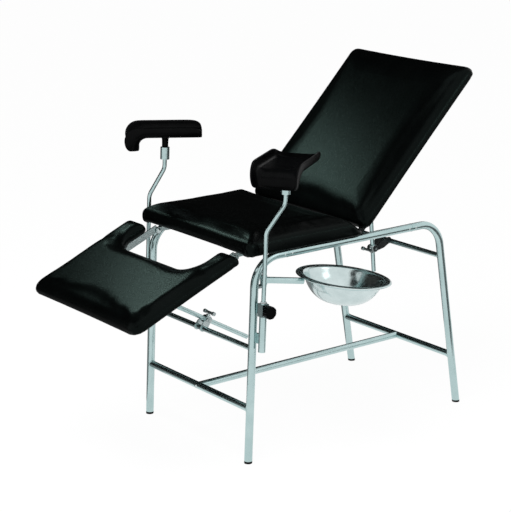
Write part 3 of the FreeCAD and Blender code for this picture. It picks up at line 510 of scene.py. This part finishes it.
def settle_seat(mesh, panel):
    """Lets the seat's cover sag on to the side rails and shapes its nose and its heel."""
    thick = panel["top"]
    for vertex in mesh.vertices:
        point = vertex.co
        side = abs(point.y)
        low = max(0.0, 1.0 - max(point.z, 0.0) / SKIRT_HEIGHT)
        if side > RAIL_OUTSIDE:
            point.z -= SKIRT_DROP * low
        elif side > RAIL_INSIDE:
            point.z -= RAIL_TOUCH * low
        front = max(0.0, 1.0 - (point.x - panel["low"]) / NOSE_REACH)
        height = min(max(point.z / thick, 0.0), 1.0)
        point.x -= NOSE_BULGE * front * math.sin(math.pi * height) ** NOSE_ROUNDNESS
        point.z -= RAIL_TOUCH * front * low
        rear = max(0.0, 1.0 - (panel["high"] - point.x) / HEEL_REACH)
        point.x += HEEL_LENGTH * rear * rear * max(0.0, 1.0 - max(point.z, 0.0) / HEEL_HEIGHT)


def cushion(name):
    """One upholstered cushion: voxel copy of its solid, swollen as cloth, with pleated corners."""
    node = name + "_cushion"
    panel = PANELS[name]
    place = panel_matrix(panel)
    mesh = remeshed(NODES[node], node, place.inverted())
    swell(mesh, held_points(mesh, panel["base"]), node)
    pleat_corners(mesh, panel)
    if name == "seat":
        settle_seat(mesh, panel)
    mesh.transform(place)
    mesh.shade_smooth()
    piece = new_object(name + "_upholstery", mesh, panel["body"], "upholstery")
    SHEEN.objects.link(piece)
    subdivide(piece, 1)
    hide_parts(node)


def lathe(name, profile, place, steps):
    """A closed round mesh from a profile of (radius, height) points."""
    bm = bmesh.new()
    rings = []
    for radius, height in profile:
        if radius == 0.0:
            rings.append([bm.verts.new((0, 0, height))])
            continue
        ring = []
        for step in range(steps):
            turn = 2 * math.pi * step / steps
            ring.append(bm.verts.new((radius * math.cos(turn), radius * math.sin(turn), height)))
        rings.append(ring)
    for lower, upper in zip(rings, rings[1:]):
        for step in range(steps):
            after = (step + 1) % steps
            corners = [lower[step % len(lower)], lower[after % len(lower)]]
            corners += [upper[after % len(upper)], upper[step % len(upper)]]
            bm.faces.new(list(dict.fromkeys(corners)))
    bm.transform(place)
    return mesh_from(bm, name)


# Bowl section as (radius, height): the outside up from the middle, under the rim, and back over the rim's top
BOWL_OUTSIDE = [
    (0.0, -0.090), (0.040, -0.090), (0.058, -0.088), (0.074, -0.0825), (0.090, -0.0735), (0.104, -0.0615),
    (0.115, -0.0485), (0.1245, -0.034), (0.1315, -0.018), (0.136, -0.006), (0.1395, -0.0012),
]
BOWL_RIM = [
    (0.144, 0.0), (0.153, 0.0003), (0.1605, 0.0), (0.1630, -0.0012), (0.1639, -0.0030), (0.1630, -0.0034),
]
BOWL_RIM_TOP = [(0.1647, -0.0026), (0.1643, -0.0004), (0.1615, 0.0013), (0.153, 0.0018), (0.1435, 0.0015)]
BOWL_SHEET = 0.0015
BOWL_SHEET_ACROSS = 0.00135
BOWL_STEPS = 128


def bowl():
    """Spun bowl with a wide flat rim that is rolled over at its edge."""
    inside = [(max(radius - BOWL_SHEET_ACROSS, 0.0), height + BOWL_SHEET) for radius, height in BOWL_OUTSIDE]
    profile = BOWL_OUTSIDE + BOWL_RIM + BOWL_RIM_TOP + inside[::-1]
    mesh = lathe("bowl_form", profile, bowl_frame(), BOWL_STEPS)
    piece = new_object("spun_bowl", mesh, "bowl", "bowl_steel")
    subdivide(piece, 1)
    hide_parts("bowl")


# Knee crutch in its own frame: X along the thigh, Z up, origin where the stem meets the floor of the trough
CRUTCH_Z = 1.023
CRUTCH_YAW = math.radians(34.0)
CRUTCH_THIGH = 0.132
CRUTCH_CALF = 0.064
CRUTCH_BEND = 0.030
CRUTCH_WALL = 0.008
CRUTCH_RIM = 0.040
CRUTCH_HALF = 0.085
CRUTCH_TIP_HALF = 0.070
CRUTCH_END_SQUEEZE = 0.92
HOLDER_LEAN = FRONT_LEAN
HOLDER_X = 0.078
HOLDER_Y = 0.350

# Trough section: its corners, the shoulder on each side and the rolled rim as shares of the wall
CRUTCH_CORNER = 0.024
CORNER_SHARE = 0.6
INNER_CORNER = 0.004
OUTER_STEPS = 3
INNER_STEPS = 2
SHOULDER_SHARE = 0.55
ROLL_OUTSIDE = 0.35
ROLL_TOP_OUT = 0.3
ROLL_TOP_IN = 0.75
ROLL_INSIDE = 0.4
FLOOR_SHARE = 0.5

# Sections from the thigh end: distance from it, rim share and half width share
CRUTCH_END = (
    (0.0, 0.58, 0.80), (0.004, 0.72, 0.88), (0.012, 0.86, 0.945), (0.026, 0.965, 0.985), (0.046, 1.0, 1.0),
    (0.080, 1.0, 1.0), (0.115, 1.0, 1.0), (0.150, 1.0, 1.0), (0.178, 1.0, 1.0),
)
# Sections round the hook: turn in degrees, drop below the bend and rim height
CRUTCH_HOOK = (
    (0, 0, 0.040), (10, 0, 0.0412), (20, 0, 0.0445), (33, 0, 0.0524), (45, 0, 0.058), (60, 0, 0.0602),
    (75, 0, 0.0569), (90, 0, 0.0487), (90, 0.008, 0.0435), (90, 0.014, 0.0375), (90, 0.018, 0.0315),
)
# Stem section as (radius, height)
STEM_PROFILE = [
    (0.0, -0.0436), (0.0105, -0.0436), (0.0115, -0.0426), (0.0115, -0.022), (0.0122, -0.013),
    (0.0148, -0.006), (0.021, -0.0012), (0.024, 0.0012), (0.0, 0.0012),
]
STEM_STEPS = 40


def trough_loop(half, rim, wall):
    """A closed section of the trough with a rounded floor and rolled rims, as (across, up) points."""
    corner = min(CRUTCH_CORNER, half * CORNER_SHARE, rim * CORNER_SHARE)
    right = [(0.0, 0.0), (half - corner, 0.0)]
    for step in range(1, OUTER_STEPS + 1):
        turn = math.pi / 2 * step / OUTER_STEPS
        right.append((half - corner + corner * math.sin(turn), corner - corner * math.cos(turn)))
    right.append((half, corner + (rim - corner) * SHOULDER_SHARE))
    right.append((half, rim - wall * ROLL_OUTSIDE))
    right.append((half - wall * ROLL_TOP_OUT, rim))
    right.append((half - wall * ROLL_TOP_IN, rim))
    inside = half - wall
    round_in = max(corner - wall, INNER_CORNER)
    middle = inside - round_in
    right.append((inside, rim - wall * ROLL_INSIDE))
    right.append((inside, wall + round_in))
    for step in range(1, INNER_STEPS + 1):
        turn = math.pi / 2 * step / INNER_STEPS
        right.append((middle + round_in * math.cos(turn), wall + round_in - round_in * math.sin(turn)))
    right.append((middle * FLOOR_SHARE, wall))
    right.append((0.0, wall))
    left = [(-across, up) for across, up in right[1:-1]][::-1]
    return right + left


def crutch_stations():
    """Place, turn, rim height and half width of every section of the trough."""
    stations = []
    for along, rim, half in CRUTCH_END:
        place = Vector((CRUTCH_THIGH - along, 0, 0))
        stations.append((place, 0.0, CRUTCH_RIM * rim, CRUTCH_HALF * half))
    for step, (degrees, drop, rim) in enumerate(CRUTCH_HOOK):
        turn = math.radians(degrees)
        x = -CRUTCH_CALF - CRUTCH_BEND * math.sin(turn)
        z = CRUTCH_BEND * (math.cos(turn) - 1) - drop
        share = step / (len(CRUTCH_HOOK) - 1)
        half = CRUTCH_HALF + (CRUTCH_TIP_HALF - CRUTCH_HALF) * share * share
        stations.append((Vector((x, 0, z)), turn, rim, half))
    return stations


def crutch_foot(side):
    """Where a crutch's stem meets the floor of its trough."""
    y = HOLDER_Y if side == "right" else -HOLDER_Y
    return Vector((HOLDER_X + HOLDER_LEAN * CRUTCH_Z - ORIGIN_X, y, CRUTCH_Z))


def crutch_mesh(side):
    """The moulded trough, made for the left side and mirrored for the right."""
    stations = crutch_stations()
    bm = bmesh.new()
    rings = []
    middle = CRUTCH_WALL / 2
    for index, (place, turn, rim, half) in enumerate(stations):
        squeeze = CRUTCH_END_SQUEEZE if index in (0, len(stations) - 1) else 1.0
        across_way = Vector((0, 1, 0))
        up_way = Vector((-math.sin(turn), 0, math.cos(turn)))
        ring = []
        for across, up in trough_loop(half, rim, CRUTCH_WALL):
            up = middle + (up - middle) * squeeze
            ring.append(bm.verts.new(place + across_way * across * squeeze + up_way * up))
        rings.append(ring)
    count = len(rings[0])
    for first, second in zip(rings, rings[1:]):
        for step in range(count):
            after = (step + 1) % count
            bm.faces.new((first[step], first[after], second[after], second[step]))
    for ring in (rings[0], rings[-1]):
        for step in range(count // 2):
            corners = [ring[step], ring[step + 1], ring[count - step - 1], ring[(count - step) % count]]
            corners = list(dict.fromkeys(corners))
            if len(corners) > 2:
                bm.faces.new(corners)
    bm.transform(Matrix.Translation(crutch_foot("left")) @ Matrix.Rotation(CRUTCH_YAW, 4, "Z"))
    if side == "right":
        bm.transform(Matrix.Scale(-1, 4, (0, 1, 0)))
    return mesh_from(bm, "crutch_form_" + side)


def crutch(side):
    """A moulded knee crutch on its flared stem, in place of its solid."""
    body = "crutch_" + side
    trough = new_object("moulded_crutch_" + side, crutch_mesh(side), body, "black_plastic")
    lean = Vector((HOLDER_LEAN, 0, 1)).to_track_quat("Z", "Y").to_matrix().to_4x4()
    stem_place = Matrix.Translation(crutch_foot(side)) @ lean
    stem_mesh = lathe("stem_form_" + side, STEM_PROFILE, stem_place, STEM_STEPS)
    stem = new_object("crutch_stem_" + side, stem_mesh, body, "black_plastic")
    subdivide(trough, 2)
    subdivide(stem, 1)
    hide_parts("knee_crutch_" + side)


# Crossbars welded between the legs: name, height and radius
CROSSBARS = (
    ("lower_front", 0.193, 0.0125),
    ("lower_rear", 0.193, 0.0125),
    ("upper_front", 0.407, 0.009),
    ("upper_rear", 0.585, 0.009),
)
BEAD_RADIUS = 0.0021
BEAD_STEPS = 72
BEAD_SIDES = 8
RIPPLE_DEPTH = 0.13
RIPPLE_COUNT = 18
UNEVEN_DEPTH = 0.12
UNEVEN_SCALE = 260


def crossbar_x(name, z):
    """X of a crossbar's axis, on the leaning legs at its end of the table."""
    if name.endswith("front"):
        return FRONT_LEAN * z - ORIGIN_X
    return REAR_FOOT_X - REAR_LEAN * z - ORIGIN_X


def weld_bead(name, z, radius, side):
    """The bead of weld where a crossbar runs into a leg, rippled as a welder lays it."""
    bar_x = crossbar_x(name, z)
    line = []
    for step in range(BEAD_STEPS):
        turn = 2 * math.pi * step / BEAD_STEPS
        across = radius * math.cos(turn)
        inset = math.sqrt(TUBE_RADIUS ** 2 - across ** 2)
        line.append(Vector((bar_x + across, side * (FRAME_HALF - inset), z + radius * math.sin(turn))))
    bm = bmesh.new()
    rings = []
    middle = Vector((bar_x, side * (FRAME_HALF - TUBE_RADIUS), z))
    for step, point in enumerate(line):
        along = (line[(step + 1) % BEAD_STEPS] - line[step - 1]).normalized()
        out = point - middle
        out = (out - along * out.dot(along)).normalized()
        side_way = along.cross(out)
        ripple = RIPPLE_DEPTH * math.sin(step * 2 * math.pi * RIPPLE_COUNT / BEAD_STEPS)
        uneven = UNEVEN_DEPTH * noise.noise(point * UNEVEN_SCALE)
        reach = BEAD_RADIUS * (1.0 + ripple + uneven)
        ring = []
        for turn_step in range(BEAD_SIDES):
            turn = 2 * math.pi * turn_step / BEAD_SIDES
            offset = out * reach * math.cos(turn) + side_way * reach * math.sin(turn)
            ring.append(bm.verts.new(point + offset))
        rings.append(ring)
    for step in range(BEAD_STEPS):
        first = rings[step]
        second = rings[(step + 1) % BEAD_STEPS]
        for turn_step in range(BEAD_SIDES):
            after = (turn_step + 1) % BEAD_SIDES
            bm.faces.new((first[turn_step], first[after], second[after], second[turn_step]))
    side_name = "left" if side < 0 else "right"
    mesh = mesh_from(bm, name + "_weld_form_" + side_name)
    new_object(name + "_weld_" + side_name, mesh, "frame", "bright_tube")


# Lamps: name, place, width, height, power and whether they only light the covers, which mirror them
LAMPS = (
    ("far_softbox", (-0.50, 1.7, 2.27), 0.55, 0.22, 7.0, True),
    ("near_strip", (0.99, -2.69, 2.00), 1.4, 0.12, 5.0, True),
    ("top_softbox", (-1.6, -0.6, 3.6), 2.2, 2.2, 130.0, False),
    ("near_fill", (-3.2, -3.4, 2.2), 2.0, 2.0, 60.0, False),
)
LAMP_TARGET = Vector((-0.2, 0.0, 0.7))
SHEEN_TINT = (0.70, 1.0, 0.92)

# Cards: name, centre, direction faced, width, height and tone
CARDS = (
    ("far_card", (0.0, 1.9, 1.75), (0.0, -1.0, 0.0), 5.6, 3.5, 0.01),
    ("ceiling_card", (0.0, 1.9, 3.5), (0.0, 0.0, -1.0), 5.6, 3.2, 0.01),
    ("far_floor_card", (0.0, 2.3, 0.002), (0.0, 0.0, 1.0), 8.0, 3.7, 0.25),
    ("glow_card", (0.99, -2.69, 2.12), (-0.38, 0.77, -0.51), 1.0, 0.8, 2.2),
    ("bowl_card", (-2.43, -1.19, 2.36), (0.76, 0.27, -0.59), 0.9, 0.7, 0.01),
    ("near_floor_card", (2.4, -2.6, 0.002), (0.0, 0.0, 1.0), 4.0, 3.6, 0.15),
)

# Floor and world: size, level and tone of the paper, how much of its look is plain white, and world strengths
FLOOR_SIZE = 28.0
FLOOR_LEVEL = -0.0005
FLOOR_TONE = (0.93, 0.93, 0.93, 1)
FLOOR_WHITE_SHARE = 0.95
WHITE = (1, 1, 1, 1)
WORLD_LIGHT = 0.7
WORLD_SHOWN = 1.0


def rectangle(name, wide, high, level=0.0):
    """A flat rectangle that faces up."""
    across = wide / 2
    up = high / 2
    corners = [(-across, -up, level), (across, -up, level), (across, up, level), (-across, up, level)]
    mesh = bpy.data.meshes.new(name)
    mesh.from_pydata(corners, [], [(0, 1, 2, 3)])
    return mesh


def empty_tree(owner):
    """The cleared node tree of a material or a world."""
    owner.use_nodes = True
    owner.node_tree.nodes.clear()
    return owner.node_tree


def combined(tree, operation, first, second):
    """A value worked out from two sockets, or from a socket and a number."""
    made = tree.nodes.new("ShaderNodeMath")
    made.operation = operation
    tree.links.new(first, made.inputs[0])
    if isinstance(second, float):
        made.inputs[1].default_value = second
    else:
        tree.links.new(second, made.inputs[1])
    return made.outputs["Value"]


def mixed(tree, output_kind, first, second, share):
    """Sends a mix of two shaders to the output of a node tree."""
    output = tree.nodes.new(output_kind)
    mix = tree.nodes.new("ShaderNodeMixShader")
    tree.links.new(share, mix.inputs["Fac"])
    tree.links.new(first, mix.inputs[1])
    tree.links.new(second, mix.inputs[2])
    tree.links.new(mix.outputs["Shader"], output.inputs["Surface"])


def floor():
    """White paper floor that is seen almost plain white but lights the table as paper does."""
    mesh = rectangle("floor", FLOOR_SIZE, FLOOR_SIZE, FLOOR_LEVEL)
    made = bpy.data.objects.new("floor", mesh)
    SCENE.collection.objects.link(made)
    paper = bpy.data.materials.new("floor_paper")
    tree = empty_tree(paper)
    glow = tree.nodes.new("ShaderNodeEmission")
    matte = tree.nodes.new("ShaderNodeBsdfDiffuse")
    matte.inputs["Color"].default_value = FLOOR_TONE
    path = tree.nodes.new("ShaderNodeLightPath")
    seen = combined(tree, "MAXIMUM", path.outputs["Is Camera Ray"], path.outputs["Is Glossy Ray"])
    share = combined(tree, "MULTIPLY", seen, FLOOR_WHITE_SHARE)
    mixed(tree, "ShaderNodeOutputMaterial", matte.outputs["BSDF"], glow.outputs["Emission"], share)
    mesh.materials.append(paper)


def world():
    """White world that lights the table less than it shows."""
    made = bpy.data.worlds.new("studio")
    SCENE.world = made
    tree = empty_tree(made)
    shades = []
    for strength in (WORLD_LIGHT, WORLD_SHOWN):
        shade = tree.nodes.new("ShaderNodeBackground")
        shade.inputs["Color"].default_value = WHITE
        shade.inputs["Strength"].default_value = strength
        shades.append(shade.outputs["Background"])
    path = tree.nodes.new("ShaderNodeLightPath")
    seen = combined(tree, "MAXIMUM", path.outputs["Is Camera Ray"], path.outputs["Is Glossy Ray"])
    shown = combined(tree, "MAXIMUM", seen, path.outputs["Is Transmission Ray"])
    mixed(tree, "ShaderNodeOutputWorld", shades[0], shades[1], shown)


def lamp(name, place, wide, high, power, mirrored):
    """A soft rectangular lamp turned to the table."""
    light = bpy.data.lights.new(name, "AREA")
    light.shape = "RECTANGLE"
    light.size = wide
    light.size_y = high
    light.energy = power
    holder = bpy.data.objects.new(name, light)
    holder.location = place
    holder.rotation_euler = (LAMP_TARGET - Vector(place)).to_track_quat("-Z", "Y").to_euler()
    holder.visible_glossy = mirrored
    if mirrored:
        light.color = SHEEN_TINT
        holder.light_linking.receiver_collection = SHEEN
    SCENE.collection.objects.link(holder)


def card(name, place, facing, wide, high, tone):
    """A card of one tone that only reflections see."""
    mesh = rectangle(name, wide, high)
    made = bpy.data.objects.new(name, mesh)
    made.location = place
    made.rotation_euler = Vector(facing).to_track_quat("Z", "Y").to_euler()
    made.visible_camera = False
    made.visible_diffuse = False
    made.visible_shadow = False
    made.visible_transmission = False
    grey = bpy.data.materials.new(name)
    tree = empty_tree(grey)
    output = tree.nodes.new("ShaderNodeOutputMaterial")
    glow = tree.nodes.new("ShaderNodeEmission")
    glow.inputs["Color"].default_value = (tone, tone, tone, 1)
    tree.links.new(glow.outputs["Emission"], output.inputs["Surface"])
    mesh.materials.append(grey)
    SCENE.collection.objects.link(made)


def camera():
    """The photograph's camera."""
    lens = bpy.data.cameras.new("camera")
    lens.lens = LENS
    lens.sensor_width = SENSOR
    eye = bpy.data.objects.new("camera", lens)
    eye.location = EYE
    eye.rotation_euler = (math.radians(90 - CAMERA_DOWN), 0, math.radians(CAMERA_TURN))
    SCENE.collection.objects.link(eye)
    SCENE.camera = eye


camera()
floor()
world()
for lamp_values in LAMPS:
    lamp(*lamp_values)
for card_values in CARDS:
    card(*card_values)
dress_nodes()
for panel_name in PANELS:
    cushion(panel_name)
bowl()
for crutch_side in ("left", "right"):
    crutch(crutch_side)
for bar_name, bar_z, bar_radius in CROSSBARS:
    for bar_side in (-1, 1):
        weld_bead(bar_name, bar_z, bar_radius, bar_side)
SCENE.view_settings.view_transform = "Standard"
